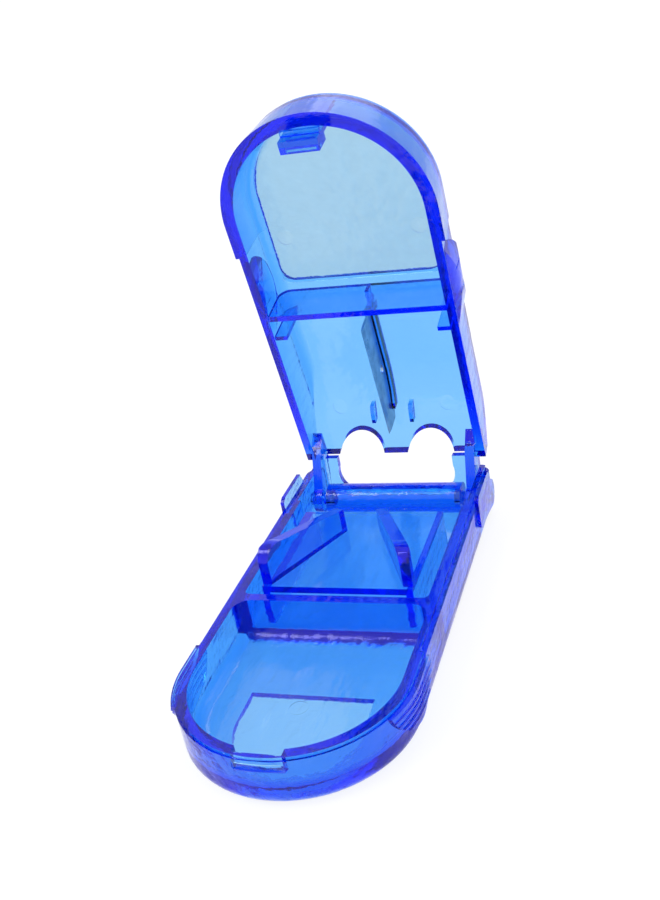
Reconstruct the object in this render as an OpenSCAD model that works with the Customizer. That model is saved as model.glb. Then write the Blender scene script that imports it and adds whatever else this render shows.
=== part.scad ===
// Pocket pill splitter: a capsule-plan box with a hinged lid, a fixed blade in the lid
// and a V-shaped pill cradle in the base.
// Origin: centre of the base's underside. X is the hinge direction, the round end is at -Y,
// the hinge is at +Y. The lid is drawn open, at lid_open degrees from closed.

/* [Case] */
// Overall length of the base, from the round end to the back of the hinge
case_len = 87.7; // [82:0.1:92]
// Width over the base's side walls
case_w = 39.6; // [38:0.2:42]
// Height of the base, from the underside to the seam
base_h = 9.6; // [9:0.2:12]
// Height of the lid, from the seam to its top
lid_h = 10.8; // [10:0.2:12]
// Thickness of the base's side walls
base_wall = 2.1; // [1.6:0.1:2.2]
// Thickness of the base's floor
floor_t = 2.2; // [1.6:0.1:2.4]
// Thickness of the lid's side walls behind the round end
lid_wall = 1.7; // [1.4:0.1:1.8]
// Thickness of the lid's top
skin = 1.3; // [1.1:0.1:1.6]

/* [Lid] */
// How far the lid is open in the drawing, in degrees from closed
lid_open = 76; // [0:1:110]
// Depth of the label recess in the lid's top
window_depth = 0.5; // [0.2:0.1:0.6]

/* [Blade] */
// Length of the cutting edge
blade_len = 26; // [22:1:27]
// Thickness of the blade
blade_t = 0.5; // [0.3:0.1:0.6]
// Height of the cutting edge above the seam when the lid is closed
blade_clear = 0.9; // [0.8:0.1:1.4]

/* [Pill cradle] */
// Width of the cradle's table
cradle_w = 28; // [26:1:30]
// Height of the V walls above the seam at their front ends
vee_front_h = 7.6; // [6:0.2:7.8]
// Height of the V walls above the seam at their back ends
vee_back_h = 5; // [4:0.2:5]

/* [Hidden] */
$fn = 96;
eps = 0.01;
blue = [0.16, 0.42, 0.95, 0.6];
deep_blue = [0.1, 0.2, 0.85, 0.7];
steel = [0.62, 0.66, 0.72];

// plan of the case
half_w = case_w / 2;
front_y = -case_len / 2;
arc_y = front_y + half_w;
back_y = case_len / 2;
pivot_y = back_y - 4.4;
pivot_z = base_h - 5.2;
seam_step_y = arc_y + 6.5;

// base
base_in = half_w - base_wall;
base_edge_r = 2.8;
base_edge_in_r = 2.4;
tongue_h = 0.5;
tongue_out = half_w - 0.35;
rear_tongue_h = 0.5;
rear_tongue_out = half_w - 1;
chamber_in = 17;
rear_wall = 1.4;
post_in_x = 12.4;
post_h = 2.9;
panel_half = 10.8;
panel_depth = 0.9;
panel_back_y = pivot_y - 59.7;
mark_r = 1.6;
mark_depth = 0.06;
divider_t = 1.9;
divider_y = pivot_y - 43.6;
divider_corner_r = 3;
divider_foot_r = 3;
barrel_r = 3.2;
barrel_half = 14.4;
ear_room_x = 15.1;
ear_slot_z = 1.2;

// lid
lid_gap = 0.2;
lid_out = half_w - 0.5;
lid_in = lid_out - lid_wall;
lid_front_out = half_w + 0.2;
lid_draft = 0.8;
lid_edge_r = 2.2;
lid_edge_in_r = 2.4;
roll_start_y = pivot_y - 24.8;
roll_r = 27.8;
lid_back_y = pivot_y - 6.3;
lid_wall_y = pivot_y - 42.4;
lid_wall_t = 1.2;
window_half = 16.6;
window_bead = 0.35;
window_back_y = pivot_y - 45.6;
scallop_r = 5.1;
scallop_x = 7.5;

// hinge
ear_out = base_in - 0.3;
ear_in = 15.5;
latch_w = 7;
ear_r = 2.8;
pin_r = 1.3;
pin_fit = 0.06;
pin_seat = 1.5;
cheek_in = half_w - 0.2;
cheek_out = half_w + 0.6;

// blade and its holder
blade_front_y = pivot_y - 38.4;
blade_h = 9.3;
blade_hole_r = 1;
rib_t = 0.8;
rib_h = 2;

// cradle
table_top = base_h + 0.5;
table_t = 1.3;
cradle_front_y = pivot_y - 41;
cradle_back_y = pivot_y - 15;
vee_front_y = pivot_y - 40.3;
vee_back_y = pivot_y - 21.5;
vee_front_x = 12.2;
vee_back_x = 3.2;
vee_t = 2;
vee_round = 3;

// finger grips
base_grip_out = 0.6;
lid_grip_out = 1.3;
ridge_r = 0.24;
ridge_pitch = 1.15;

// Capsule plan with a round front: half width r, straight sides back to y_back
module plan(r, y_back) {
    intersection() {
        translate([0, arc_y]) circle(r);
        translate([-r, arc_y - r]) square([2 * r, r + eps]);
    }
    translate([-r, arc_y]) square([2 * r, y_back - arc_y]);
}

// Solid swept round the plan: its section stands in the X-Z plane, X outwards from the middle
module swept(y_back) {
    translate([0, arc_y, 0]) rotate([0, 0, 180]) rotate_extrude(angle = 180) children();
    for (side = [0, 1]) mirror([side, 0, 0])
        translate([0, y_back, 0]) rotate([90, 0, 0]) linear_extrude(y_back - arc_y) children();
}

// Half section of a dish of half width r and height h, with its bottom edge rounded
module dish_section(r, h, edge) {
    translate([0, edge]) square([r, h - edge]);
    square([r - edge, edge + eps]);
    translate([r - edge, edge]) circle(edge);
}

// The same with sides that slope in by draft towards the rounded edge
module drafted_section(r, h, edge, draft) {
    polygon([[0, edge], [r - draft, edge], [r, h], [0, h]]);
    square([r - draft - edge, edge + eps]);
    translate([r - draft - edge, edge]) circle(edge);
}

// Extrusion along X, centred, of a side view drawn with Y across and Z up
module side_view(width) {
    translate([-width / 2, 0, 0]) rotate([90, 0, 90]) linear_extrude(width) children();
}

// Opens the lid about the hinge axis
module open_lid() {
    translate([0, pivot_y, pivot_z]) rotate([-lid_open, 0, 0])
        translate([0, -pivot_y, -pivot_z]) children();
}

// Round-cornered rectangle between two corners
module round_rect(x0, y0, x1, y1, r) {
    translate([x0 + r, y0]) square([x1 - x0 - 2 * r, y1 - y0]);
    translate([x0, y0 + r]) square([x1 - x0, y1 - y0 - 2 * r]);
    for (x = [x0 + r, x1 - r], y = [y0 + r, y1 - r]) translate([x, y]) circle(r);
}

// ---- base tray ----

// Outside of the tray, its bottom edge rounded all round
module tray_outside() {
    intersection() {
        swept(back_y) dish_section(half_w, base_h, base_edge_r);
        side_view(2 * case_w) {
            translate([front_y - 1, 0]) square([case_len + 1 - base_edge_r, base_h]);
            translate([front_y, base_edge_r]) square([case_len, base_h - base_edge_r]);
            translate([back_y - base_edge_r, base_edge_r]) circle(base_edge_r);
        }
        linear_extrude(base_h) round_rect(-half_w, front_y - half_w, half_w, back_y, 2);
    }
}

// Storage compartment behind the round front
module storage_room() {
    room_y = divider_y - divider_t / 2;
    intersection() {
        swept(divider_y) translate([0, floor_t]) dish_section(base_in, base_h, base_edge_in_r);
        linear_extrude(3 * base_h) {
            translate([0, arc_y]) circle(base_in);
            round_rect(-base_in, arc_y, base_in, room_y, divider_corner_r);
            translate([-base_in, arc_y]) square([2 * base_in, 6]);
        }
        side_view(2 * case_w) {
            translate([front_y, floor_t + divider_foot_r]) square([room_y - front_y, 3 * base_h]);
            translate([front_y, floor_t])
                square([room_y - front_y - divider_foot_r, divider_foot_r + eps]);
            translate([room_y - divider_foot_r, floor_t + divider_foot_r]) circle(divider_foot_r);
        }
    }
}

// Cutting chamber between the divider and the rear wall
module cutting_room() {
    chamber_y = divider_y + divider_t / 2;
    translate([0, 0, floor_t]) linear_extrude(3 * base_h)
        round_rect(-chamber_in, chamber_y, chamber_in, back_y - rear_wall, 1);
}

// Slots beside the barrel where the lid's ears turn, open at the back
module ear_slots() {
    for (side = [-1, 1]) translate([side * (base_in + ear_room_x) / 2, back_y, ear_slot_z])
        linear_extrude(3 * base_h) square([base_in - ear_room_x, 2 * 14], center = true);
}

// Low middle of the rear wall, leaving a post with a hollow flank at each end
module rear_opening() {
    translate([0, back_y + 1, 0]) rotate([90, 0, 0]) linear_extrude(rear_wall + 2) {
        translate([-scallop_x, pivot_z]) square([2 * scallop_x, base_h]);
        translate([-post_in_x, base_h - 0.7]) square([2 * post_in_x, base_h]);
        for (side = [-1, 1]) translate([side * scallop_x, base_h - 0.7]) circle(scallop_r);
    }
}

// Posts at the ends of the rear wall, standing above the rim
module rear_posts() {
    for (side = [0, 1]) mirror([side, 0, 0])
        translate([post_in_x - 1, back_y - rear_wall, floor_t])
            cube([ear_room_x - post_in_x + 1, rear_wall, base_h + post_h - floor_t]);
}

// Shelf outside the rim: deep round the front, where the lid's lip hangs, shallow behind it
module rim_shelf() {
    translate([0, 0, base_h - tongue_h]) linear_extrude(tongue_h + 1) difference() {
        plan(half_w + 1, seam_step_y);
        plan(tongue_out, seam_step_y + 1);
    }
    for (side = [-1, 1]) translate([side * (rear_tongue_out + 1), seam_step_y + case_len / 2, base_h])
        cube([2, case_len, 2 * rear_tongue_h], center = true);
}

// Catch in the front wall for the latch tab: a channel inside and a shallow slot outside
module latch_seat() {
    width = latch_w + 1;
    translate([-width / 2, front_y + base_wall - 0.9, base_h - 3.1]) cube([width, 2, 4]);
    translate([-width / 2, front_y - 1, base_h - 2.4]) cube([width, 1.5, 1.2]);
}

// D-shaped hollow under the storage floor, round the same way as the case
module floor_panel() {
    translate([0, 0, -1]) linear_extrude(1 + panel_depth) difference() {
        union() {
            translate([0, panel_back_y - 7.4]) circle(panel_half);
            translate([-panel_half, panel_back_y - 7.4]) square([2 * panel_half, 7.4]);
        }
        translate([-case_w, panel_back_y]) square([2 * case_w, case_w]);
    }
}

// Round mark left by a mould pin, sunk below z
module pin_mark(x, y, z) {
    translate([x, y, z - mark_depth]) cylinder(h = 2 * mark_depth, r = mark_r);
}

// Side view of a finger pad: a D with its flat side at z_top
module pad_view(y_mid, z_top, len, drop) {
    r_view = (len * len / 4 + drop * drop) / (2 * drop);
    intersection() {
        translate([y_mid, z_top - drop + r_view]) circle(r_view);
        translate([y_mid - len, z_top - drop]) square([2 * len, drop]);
    }
}

// Finger pad that follows the base's side wall round the arc, with ridges along it
module base_grips(y_mid, z_top, len, drop) {
    r_pad = half_w + base_grip_out;
    intersection() {
        union() {
            translate([0, 0, z_top - drop]) linear_extrude(drop) difference() {
                plan(r_pad, pivot_y);
                plan(half_w - 1, pivot_y + 1);
            }
            for (k = [0 : 3]) swept(pivot_y)
                translate([r_pad, z_top - 1.1 - k * ridge_pitch]) circle(ridge_r, $fn = 24);
        }
        side_view(3 * case_w) pad_view(y_mid, z_top, len, drop);
    }
}

// Cushion-shaped finger pad on each side of the lid, tapering to nothing at its ends
module lid_grips(y_mid, len, height) {
    r_along = (len * len / 4 + lid_grip_out * lid_grip_out) / (2 * lid_grip_out);
    r_up = (height * height / 4 + lid_grip_out * lid_grip_out) / (2 * lid_grip_out);
    z_mid = base_h + lid_gap + height / 2;
    x_face = lid_out - lid_draft / 4 + lid_grip_out;
    for (side = [0, 1]) mirror([side, 0, 0]) difference() {
        intersection() {
            translate([lid_in + 0.4, y_mid - len / 2, base_h + lid_gap]) cube([5, len, height]);
            translate([x_face - r_along, y_mid, base_h]) cylinder(h = 2 * lid_h, r = r_along);
            translate([x_face - r_up, y_mid + len, z_mid]) rotate([90, 0, 0])
                cylinder(h = 2 * len, r = r_up);
            translate([0, 0, 2 * base_h + lid_gap]) mirror([0, 0, 1]) side_view(3 * case_w)
                pad_view(y_mid, base_h, len, height);
        }
        for (y = [y_mid - 2.6, y_mid + 2.6])
            translate([x_face - 0.25, y - 0.2, base_h]) cube([2, 0.4, lid_h]);
    }
}

// Raised pads outside the hinge corners, which carry the pins
module cheek(side) {
    translate([side > 0 ? cheek_in : -cheek_out, 0, 0]) rotate([90, 0, 90])
        linear_extrude(cheek_out - cheek_in) {
            translate([pivot_y - 10.8, pivot_z - 0.3]) square([9.4, 7.1]);
            translate([pivot_y - 12.3, pivot_z + 1.2]) square([10.9, 5]);
            translate([pivot_y - 10.8, pivot_z + 1.2]) circle(1.5);
            translate([pivot_y - 10.8, pivot_z + 5.3]) circle(1.5);
            translate([pivot_y, pivot_z + 1.1]) circle(2.8);
            translate([pivot_y - 3, pivot_z + 4.3]) circle(2.5);
            polygon([[pivot_y - 8, pivot_z - 0.3], [pivot_y, pivot_z - 1.7],
                [pivot_y + 2.75, pivot_z + 0.8], [pivot_y - 1.6, pivot_z + 6.4],
                [pivot_y - 8, pivot_z + 5]]);
        }
}

module base_tray() {
    color(blue) difference() {
        union() {
            difference() {
                tray_outside();
                storage_room();
                cutting_room();
                rim_shelf();
            }
            rear_posts();
            translate([-barrel_half, pivot_y, pivot_z]) rotate([0, 90, 0])
                cylinder(h = 2 * barrel_half, r = barrel_r);
            base_grips(arc_y - 1.5, base_h - tongue_h, 15.6, 6);
            for (side = [-1, 1]) cheek(side);
        }
        ear_slots();
        rear_opening();
        latch_seat();
        floor_panel();
        pin_mark(-1, pivot_y - 63.5, floor_t);
        translate([-case_w, pivot_y, pivot_z]) rotate([0, 90, 0])
            cylinder(h = 2 * case_w, r = pin_r);
    }
}

// ---- pill cradle ----

// One wall of the V, its top falling towards the apex and its front corner round
module vee_wall() {
    fall = (vee_front_h - vee_back_h) / (vee_back_y - vee_front_y);
    corner_y = vee_front_y + vee_round;
    corner_z = base_h + vee_front_h - vee_round;
    intersection() {
        linear_extrude(base_h + vee_front_h) polygon([
            [vee_front_x, vee_front_y], [vee_front_x + vee_t - 0.2, vee_front_y],
            [vee_front_x + vee_t - 0.2, vee_front_y + 1.5], [vee_back_x + vee_t, vee_back_y],
            [vee_back_x, vee_back_y - 0.6]]);
        side_view(2 * cradle_w) {
            translate([corner_y, corner_z]) circle(vee_round);
            translate([vee_front_y, table_top - 1]) square([2 * vee_round, corner_z - table_top + 1]);
            polygon([
                [corner_y, table_top - 1], [vee_back_y + 1, table_top - 1],
                [vee_back_y + 1, base_h + vee_back_h], [corner_y, base_h + vee_front_h - fall / 2]]);
        }
    }
}

// Table on two side skirts, open at the front and the back, with the V on top
module pill_cradle() {
    foot_z = floor_t + 0.05;
    length = cradle_back_y - cradle_front_y;
    color(blue) {
        difference() {
            translate([-cradle_w / 2, cradle_front_y, foot_z])
                cube([cradle_w, length, table_top - foot_z]);
            translate([-cradle_w / 2 + table_t, cradle_front_y - 1, foot_z - 1])
                cube([cradle_w - 2 * table_t, length + 2, table_top - foot_z - table_t + 1]);
        }
        vee_wall();
        mirror([1, 0, 0]) vee_wall();
    }
}

// ---- lid, drawn closed and then opened ----

// Side view of the lid's outside, grown inwards by t: flat top that rolls down to the hinge
module lid_profile(t, low) {
    top = base_h + lid_h - t;
    intersection() {
        translate([front_y - 1, low]) square([lid_back_y - front_y + 1, top - low]);
        union() {
            translate([front_y - 1, low]) square([roll_start_y - front_y + 1, top - low]);
            translate([roll_start_y, base_h + lid_h - roll_r]) circle(roll_r - t, $fn = 240);
        }
    }
}

// Outside of the lid: a wider round end up to the step, straight narrower sides behind it
module lid_outside() {
    translate([0, 0, base_h + lid_h]) mirror([0, 0, 1]) {
        swept(lid_back_y) drafted_section(lid_out, lid_h - lid_gap, lid_edge_r, lid_draft / 2);
        intersection() {
            swept(seam_step_y)
                drafted_section(lid_front_out, lid_h - lid_gap, lid_edge_r, lid_draft);
            translate([-case_w, front_y - case_w, -1])
                cube([2 * case_w, seam_step_y - front_y + case_w, 2 * lid_h]);
        }
    }
}

module lid_shell() {
    seam = base_h + lid_gap;
    difference() {
        intersection() {
            lid_outside();
            side_view(2 * case_w) lid_profile(0, seam);
        }
        intersection() {
            translate([0, 0, base_h + lid_h - skin]) mirror([0, 0, 1])
                swept(lid_back_y + 1) dish_section(lid_in, lid_h + 1, lid_edge_in_r);
            side_view(2 * case_w) union() {
                lid_profile(skin, seam - 1);
                translate([lid_back_y - 3, seam - 1]) square([6, 2]);
                translate([lid_back_y - 1, seam - 1]) square([3, 2.6]);
            }
        }
    }
}

// Outline of the label window: straight at the back, round at the front
module window_outline(grow) {
    intersection() {
        plan(window_half + grow, window_back_y + grow);
        round_rect(-window_half - grow, front_y - 10, window_half + grow, window_back_y + grow, 3);
    }
}

// Latch tab down the inside of the front wall, with a hook that enters the base's catch
module latch_tab() {
    tab_y = front_y + base_wall + 0.45;
    difference() {
        union() {
            translate([-latch_w / 2, tab_y, base_h - 1.5]) cube([latch_w, 0.9, lid_h + 1.5 - skin]);
            translate([-latch_w / 2, tab_y, base_h - 4.2]) cube([latch_w, 2.2, 4]);
            translate([-latch_w / 2, tab_y + 1.1, base_h - 3.1]) rotate([0, 90, 0])
                cylinder(h = latch_w, r = 1.1);
            translate([-latch_w / 2, front_y + 1.6, base_h - 2.3]) cube([latch_w, 1.2, 0.7]);
        }
        translate([-latch_w / 2 + 0.8, tab_y + 1.7, base_h - 2.9]) cube([latch_w - 1.6, 1, 0.8]);
    }
}

// Wall across the lid that meets the base's divider, with its stub ribs
module lid_divider() {
    translate([-lid_in - 0.3, lid_wall_y - lid_wall_t, base_h + 0.3])
        cube([2 * lid_in + 0.6, lid_wall_t, lid_h - skin]);
    for (side = [0, 1]) mirror([side, 0, 0])
        translate([lid_in - 2.5, lid_wall_y + 3.6, base_h + 0.4])
            cube([2.8, 0.9, lid_h - skin - 0.2]);
}

// Rib along one side of the blade's root, and two short stops on the other
module blade_rib() {
    intersection() {
        union() {
            translate([blade_t / 2, lid_wall_y - 0.3, base_h]) cube([rib_t, blade_len + 1.4, 2 * lid_h]);
            for (y = [blade_front_y + 1, blade_front_y + blade_len - 3])
                translate([-blade_t / 2 - 0.7, y, base_h]) cube([0.7, 2, 2 * lid_h]);
        }
        side_view(case_w) difference() {
            lid_profile(0.4, base_h);
            lid_profile(skin + rib_h, base_h - 1);
        }
    }
}

// Side view of the arm that carries the lid on its pin
module ear_view() {
    translate([pivot_y, pivot_z]) circle(ear_r);
    polygon([[pivot_y - ear_r, pivot_z], [pivot_y + ear_r, pivot_z],
        [pivot_y + 1.2, base_h + 0.2], [lid_back_y, base_h + 2.9],
        [lid_back_y - 5.2, base_h + 2.9], [lid_back_y - 2.6, base_h - 1]]);
}

module lid_ears() {
    for (side = [0, 1]) mirror([side, 0, 0]) {
        translate([ear_in, 0, 0]) rotate([90, 0, 90])
            linear_extrude(ear_out - ear_in) ear_view();
        translate([ear_in, 0, 0]) rotate([90, 0, 90]) linear_extrude(lid_in - ear_in + 0.4)
            intersection() {
                ear_view();
                translate([lid_back_y - 8, base_h + lid_gap]) square([8, 5]);
            }
    }
}

// Two round notches in the lid's back edge
module scallops() {
    for (side = [-1, 1]) translate([side * scallop_x, lid_back_y + 1.2, base_h])
        cylinder(h = 2 * lid_h, r = scallop_r);
}

// Small fins beside the notches
module lid_fins() {
    for (side = [0, 1]) mirror([side, 0, 0])
        translate([scallop_x - 3.4, 0, 0]) side_view(0.8) intersection() {
            lid_profile(0.5, base_h + 0.3);
            translate([lid_back_y - 9.5, base_h + lid_h - 6.2]) square([3.6, 6]);
            translate([lid_back_y - 5.9, base_h + lid_h]) circle(6);
        }
}

module lid() {
    top = base_h + lid_h;
    color(blue) open_lid() difference() {
        union() {
            difference() {
                lid_shell();
                scallops();
            }
            translate([0, 0, top - skin - window_bead]) linear_extrude(window_bead + 0.2)
                difference() {
                    window_outline(0.3);
                    window_outline(-0.3);
                }
            lid_divider();
            blade_rib();
            lid_ears();
            lid_fins();
            latch_tab();
            lid_grips(pivot_y - 47, 17.4, 9);
        }
        translate([0, 0, top - window_depth]) linear_extrude(2) window_outline(0);
        translate([-case_w, pivot_y, pivot_z]) rotate([0, 90, 0])
            cylinder(h = 2 * case_w, r = pin_r + pin_fit);
        for (side = [-1, 1]) {
            translate([side * 11.6, roll_start_y, top - roll_r]) rotate([-22, 0, 0])
                translate([0, 0, roll_r - skin]) cylinder(h = 2 * mark_depth, r = mark_r, center = true);
            pin_mark(side * 13.2, pivot_y - 55.3, top - skin);
        }
    }
}

// ---- blade ----

module blade() {
    edge_z = base_h + blade_clear;
    bevel_h = 1.6;
    color(steel) open_lid() difference() {
        intersection() {
            translate([0, blade_front_y + blade_len, 0]) rotate([90, 0, 0])
                linear_extrude(blade_len) polygon([
                    [0, edge_z], [blade_t / 2, edge_z + bevel_h], [blade_t / 2, edge_z + blade_h],
                    [-blade_t / 2, edge_z + blade_h], [-blade_t / 2, edge_z + bevel_h]]);
            side_view(case_w) lid_profile(skin, base_h);
        }
        translate([-case_w / 2, blade_front_y + blade_len / 2, edge_z + 4.9]) rotate([0, 90, 0])
            cylinder(h = case_w, r = blade_hole_r);
    }
}

// ---- hinge pins ----

// Pin through the cheek, the lid's ear and the end of the barrel, flush outside
module hinge_pin() {
    translate([barrel_half - pin_seat, pivot_y, pivot_z]) rotate([0, 90, 0])
        cylinder(h = cheek_out - barrel_half + pin_seat, r = pin_r);
}

module hinge_pin_right() {
    color(deep_blue) hinge_pin();
}

module hinge_pin_left() {
    color(deep_blue) mirror([1, 0, 0]) hinge_pin();
}

base_tray();
pill_cradle();
lid();
blade();
hinge_pin_left();
hinge_pin_right();
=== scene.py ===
"""Translucent blue pill splitter, open, on a pale studio floor."""
import math

import bmesh
import bpy
from mathutils import Euler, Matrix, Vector

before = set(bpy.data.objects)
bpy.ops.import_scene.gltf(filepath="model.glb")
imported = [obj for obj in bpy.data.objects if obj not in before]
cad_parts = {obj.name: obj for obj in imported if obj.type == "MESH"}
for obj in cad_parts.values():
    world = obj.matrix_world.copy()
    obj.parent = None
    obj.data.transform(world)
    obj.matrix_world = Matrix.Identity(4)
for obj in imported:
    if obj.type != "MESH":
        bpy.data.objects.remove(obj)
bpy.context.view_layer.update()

MM = 0.001

# the lid's hinge and how far it is open
HINGE = (0, 39.45 * MM, 4.4 * MM)
LID_OPEN = math.radians(76)

# the label window in the closed lid, measured from the hinge
WINDOW_ROUND_Y = 63.5 * MM
WINDOW_BACK_Y = 45.7 * MM
WINDOW_HALF = 16.4 * MM
WINDOW_LOW_Z = 14.4 * MM
WINDOW_TINT = (0.88, 0.81, 0.75)

# what the plastic lets through, and how strongly it takes the rest per metre
ABSORB = (0.0, 0.62, 0.988)
BASE_DENSITY = 980
LID_DENSITY = 1150
CRADLE_DENSITY = 560
PIN_DENSITY = 1600
CLEAR = (1.0, 1.0, 1.0)

# radii of the moulded edges
EDGE = 0.18 * MM
CRADLE_EDGE = 0.25 * MM

# studio
FLOOR_SIZE = 60.0
FLOOR_Z = -0.05 * MM
FLOOR_GLOW = 0.84
SKY = (0.96, 0.98, 1.0)
SKY_STRENGTH = 0.92
BOUNCES = 28

# camera
CAMERA_AT = (64.67 * MM, -152.05 * MM, 115.69 * MM)
CAMERA_TURN = (63.8, 10.16, 16.96)
CAMERA_LENS = 29.36
SENSOR_HEIGHT = 24.0


# ---- materials ----


def new_material(name):
    mat = bpy.data.materials.new(name)
    mat.use_nodes = True
    nt = mat.node_tree
    nt.nodes.clear()
    out = nt.nodes.new("ShaderNodeOutputMaterial")
    shader = nt.nodes.new("ShaderNodeBsdfPrincipled")
    nt.links.new(shader.outputs["BSDF"], out.inputs["Surface"])
    return mat, nt, shader, out


def noise(nt, scale, detail=3.0, stretch=(1, 1, 1), rough=0.55):
    """A noise in the row frame, scale in features per metre."""
    where = nt.nodes.new("ShaderNodeTexCoord")
    mapping = nt.nodes.new("ShaderNodeMapping")
    mapping.inputs["Scale"].default_value = stretch
    tex = nt.nodes.new("ShaderNodeTexNoise")
    tex.inputs["Scale"].default_value = scale
    tex.inputs["Detail"].default_value = detail
    tex.inputs["Roughness"].default_value = rough
    nt.links.new(where.outputs["Object"], mapping.inputs["Vector"])
    nt.links.new(mapping.outputs["Vector"], tex.inputs["Vector"])
    return tex.outputs["Fac"]


def ramp(nt, fac, stops):
    """A colour that runs through (place, colour) stops."""
    node = nt.nodes.new("ShaderNodeValToRGB")
    while len(node.color_ramp.elements) < len(stops):
        node.color_ramp.elements.new(0.5)
    for element, (at, colour) in zip(node.color_ramp.elements, stops):
        element.position = at
        element.color = (*colour, 1)
    nt.links.new(fac, node.inputs["Fac"])
    return node.outputs["Color"]


def spread(nt, fac, lo, hi):
    """Stretches a noise over the values from lo to hi."""
    node = nt.nodes.new("ShaderNodeMapRange")
    node.inputs["From Min"].default_value = 0.3
    node.inputs["From Max"].default_value = 0.7
    node.inputs["To Min"].default_value = lo
    node.inputs["To Max"].default_value = hi
    nt.links.new(fac, node.inputs["Value"])
    return node.outputs["Result"]


def bump_chain(nt, shader, layers):
    """Bumps on top of each other: (height, distance in metres, strength)."""
    last = None
    for height, distance, strength in layers:
        node = nt.nodes.new("ShaderNodeBump")
        node.inputs["Strength"].default_value = strength
        node.inputs["Distance"].default_value = distance
        nt.links.new(height, node.inputs["Height"])
        if last is not None:
            nt.links.new(last, node.inputs["Normal"])
        last = node.outputs["Normal"]
    nt.links.new(last, shader.inputs["Normal"])


def maths(nt, kind, a, b=0.0):
    node = nt.nodes.new("ShaderNodeMath")
    node.operation = kind
    for socket, value in zip(node.inputs, (a, b)):
        if isinstance(value, (int, float)):
            socket.default_value = value
        else:
            nt.links.new(value, socket)
    return node.outputs[0]


def window_mask(nt):
    """1 inside the lid's label window, 0 elsewhere, whatever the lid's angle."""
    where = nt.nodes.new("ShaderNodeTexCoord")
    closed = nt.nodes.new("ShaderNodeMapping")
    closed.vector_type = "TEXTURE"
    closed.inputs["Rotation"].default_value = (-LID_OPEN, 0, 0)
    closed.inputs["Location"].default_value = HINGE
    split = nt.nodes.new("ShaderNodeSeparateXYZ")
    nt.links.new(where.outputs["Object"], closed.inputs["Vector"])
    nt.links.new(closed.outputs["Vector"], split.inputs["Vector"])
    x, y, z = split.outputs
    beyond_arc = maths(nt, "MINIMUM", maths(nt, "ADD", y, WINDOW_ROUND_Y), 0.0)
    across = maths(nt, "MULTIPLY", x, x)
    along = maths(nt, "MULTIPLY", beyond_arc, beyond_arc)
    radius = maths(nt, "SQRT", maths(nt, "ADD", across, along))
    in_sides = maths(nt, "LESS_THAN", radius, WINDOW_HALF)
    past_back = maths(nt, "LESS_THAN", y, -WINDOW_BACK_Y)
    in_top = maths(nt, "GREATER_THAN", z, WINDOW_LOW_Z)
    return maths(nt, "MULTIPLY", maths(nt, "MULTIPLY", in_sides, past_back), in_top)


def blend(nt, fac, kind, a, b):
    """a where fac is 0, b where it is 1."""
    node = nt.nodes.new("ShaderNodeMix")
    node.data_type = kind
    nt.links.new(fac, node.inputs["Factor"])
    pair = [i for i in node.inputs if i.name in "AB" and i.enabled]
    for socket, value in zip(pair, (a, b)):
        nt.links.new(value, socket)
    return next(o for o in node.outputs if o.enabled)


def clear_blue(name, tint, density, waviness, window=False):
    """Moulded translucent plastic: the wall's thickness sets how deep its blue is."""
    mat, nt, shader, out = new_material(name)
    cloudy = noise(nt, 90, 4)
    flow = noise(nt, 160, 3, (1.0, 0.35, 1.0))
    pebble = noise(nt, 900, 4)
    scuff = noise(nt, 2600, 2, (1.0, 0.06, 1.0))
    colour = ramp(nt, cloudy, [(0.3, (tint[0] - 0.06, tint[1] - 0.03, tint[2])), (0.7, tint)])
    gloss = spread(nt, pebble, 0.03, 0.09)
    if window:
        inside = window_mask(nt)
        hammered = noise(nt, 380, 3)
        paler = [c + 0.05 for c in WINDOW_TINT]
        milky = ramp(nt, hammered, [(0.35, WINDOW_TINT), (0.7, paler)])
        colour = blend(nt, inside, "RGBA", colour, milky)
        gloss = blend(nt, inside, "FLOAT", gloss, spread(nt, hammered, 0.1, 0.22))
    nt.links.new(colour, shader.inputs["Base Color"])
    nt.links.new(gloss, shader.inputs["Roughness"])
    shader.inputs["Transmission Weight"].default_value = 1.0
    shader.inputs["IOR"].default_value = 1.46
    layers = [(flow, 0.0006, waviness), (pebble, 0.00006, waviness), (scuff, 0.000012, 0.35)]
    if window:
        layers.append((maths(nt, "MULTIPLY", hammered, inside), 0.0005, 0.6))
    bump_chain(nt, shader, layers)
    body = nt.nodes.new("ShaderNodeVolumeAbsorption")
    body.inputs["Color"].default_value = (*ABSORB, 1)
    body.inputs["Density"].default_value = density
    nt.links.new(body.outputs["Volume"], out.inputs["Volume"])
    return mat


def ground_steel(name):
    """Blade steel, ground along its length, with a few dull spots."""
    mat, nt, shader, out = new_material(name)
    grind = noise(nt, 5200, 3, (1.0, 0.03, 0.03))
    cross = noise(nt, 3000, 2, (1.0, 1.0, 0.08))
    spots = noise(nt, 420, 4)
    colour = ramp(nt, spots, [(0.35, (0.26, 0.36, 0.46)), (0.62, (0.42, 0.53, 0.64))])
    nt.links.new(colour, shader.inputs["Base Color"])
    shader.inputs["Metallic"].default_value = 1.0
    nt.links.new(spread(nt, grind, 0.22, 0.42), shader.inputs["Roughness"])
    bump_chain(nt, shader, [(grind, 0.00002, 0.5), (cross, 0.00001, 0.3)])
    return mat


plastic = clear_blue("clear_blue_plastic", CLEAR, BASE_DENSITY, 0.9)
lid_plastic = clear_blue("lid_plastic", CLEAR, LID_DENSITY, 0.7, window=True)
cradle_plastic = clear_blue("cradle_plastic", CLEAR, CRADLE_DENSITY, 0.35)
pin_plastic = clear_blue("pin_plastic", (0.98, 0.99, 1.0), PIN_DENSITY, 0.2)
steel = ground_steel("blade_steel")


# ---- CAD nodes: soft edges and finish ----


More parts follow.
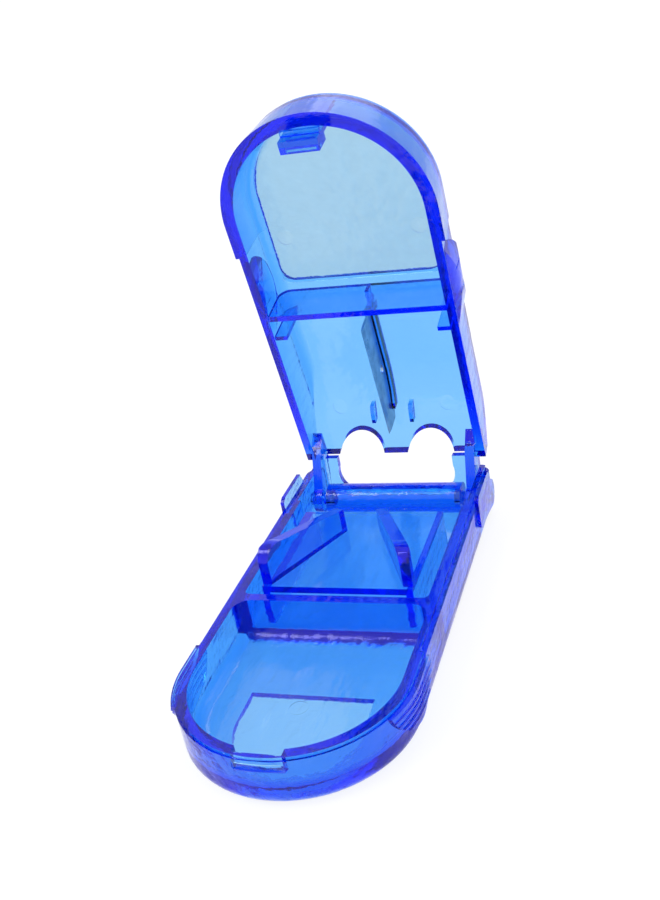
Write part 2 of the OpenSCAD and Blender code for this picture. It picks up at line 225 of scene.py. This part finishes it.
def soften(obj, width, angle=35, segments=2):
    bevel = obj.modifiers.new("soft_edges", "BEVEL")
    bevel.width = width
    bevel.segments = segments
    bevel.limit_method = "ANGLE"
    bevel.angle_limit = math.radians(angle)
    bevel.use_clamp_overlap = True
    bevel.miter_outer = "MITER_SHARP"
    bevel.harden_normals = True


def finish_node(name, mat, width):
    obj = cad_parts[name]
    obj.data.materials.clear()
    obj.data.materials.append(mat)
    if width:
        soften(obj, width)


finish_node("base_tray", plastic, EDGE)
finish_node("lid", lid_plastic, EDGE)
finish_node("pill_cradle", cradle_plastic, CRADLE_EDGE)
finish_node("blade", steel, 0)
finish_node("hinge_pin_left", pin_plastic, 0)
finish_node("hinge_pin_right", pin_plastic, 0)


# ---- studio ----


def grid_plane(name, size, steps, z):
    bm = bmesh.new()
    bmesh.ops.create_grid(bm, x_segments=steps, y_segments=steps, size=size / 2)
    for v in bm.verts:
        v.co.z = z
    mesh = bpy.data.meshes.new(name)
    bm.to_mesh(mesh)
    bm.free()
    obj = bpy.data.objects.new(name, mesh)
    bpy.context.scene.collection.objects.link(obj)
    return obj


floor = grid_plane("floor", FLOOR_SIZE, 8, FLOOR_Z)
floor_mat, nt, shader, out = new_material("pale_floor")
shade = noise(nt, 3, 2)
nt.links.new(
    ramp(nt, shade, [(0.3, (0.18, 0.18, 0.185)), (0.7, (0.2, 0.2, 0.2))]),
    shader.inputs["Base Color"],
)
shader.inputs["Roughness"].default_value = 0.7
shader.inputs["Specular IOR Level"].default_value = 0.2
shader.inputs["Emission Color"].default_value = (1.0, 1.0, 1.0, 1)
shader.inputs["Emission Strength"].default_value = FLOOR_GLOW
floor.data.materials.append(floor_mat)


def softbox(name, at, aim, size, power, colour=(1, 1, 1)):
    light = bpy.data.lights.new(name, "AREA")
    light.shape = "RECTANGLE"
    light.size, light.size_y = size
    light.energy = power
    light.color = colour
    obj = bpy.data.objects.new(name, light)
    bpy.context.scene.collection.objects.link(obj)
    obj.location = at
    obj.rotation_euler = (Vector(aim) - Vector(at)).to_track_quat("-Z", "Y").to_euler()
    return obj


middle = (0, 0, 0.03)
softbox("key", (-0.45, -0.35, 0.75), middle, (0.35, 0.35), 2.2)
softbox("fill", (0.7, -0.3, 0.5), middle, (0.3, 0.5), 0.8)
softbox("back", (0.1, 0.8, 0.7), middle, (0.9, 0.4), 1.2)

world = bpy.data.worlds.new("studio")
world.use_nodes = True
world.node_tree.nodes["Background"].inputs["Color"].default_value = (*SKY, 1)
world.node_tree.nodes["Background"].inputs["Strength"].default_value = SKY_STRENGTH
bpy.context.scene.world = world
bpy.context.scene.view_settings.view_transform = "Standard"
bpy.context.scene.view_settings.look = "None"
bpy.context.scene.cycles.max_bounces = BOUNCES
bpy.context.scene.cycles.glossy_bounces = BOUNCES
bpy.context.scene.cycles.transmission_bounces = BOUNCES

# ---- camera ----

camera_data = bpy.data.cameras.new("camera")
camera_data.sensor_fit = "VERTICAL"
camera_data.sensor_height = SENSOR_HEIGHT
camera_data.lens = CAMERA_LENS
camera_data.clip_start = 0.01
camera = bpy.data.objects.new("camera", camera_data)
bpy.context.scene.collection.objects.link(camera)
camera.location = CAMERA_AT
camera.rotation_euler = Euler([math.radians(a) for a in CAMERA_TURN], "XYZ")
bpy.context.scene.camera = camera
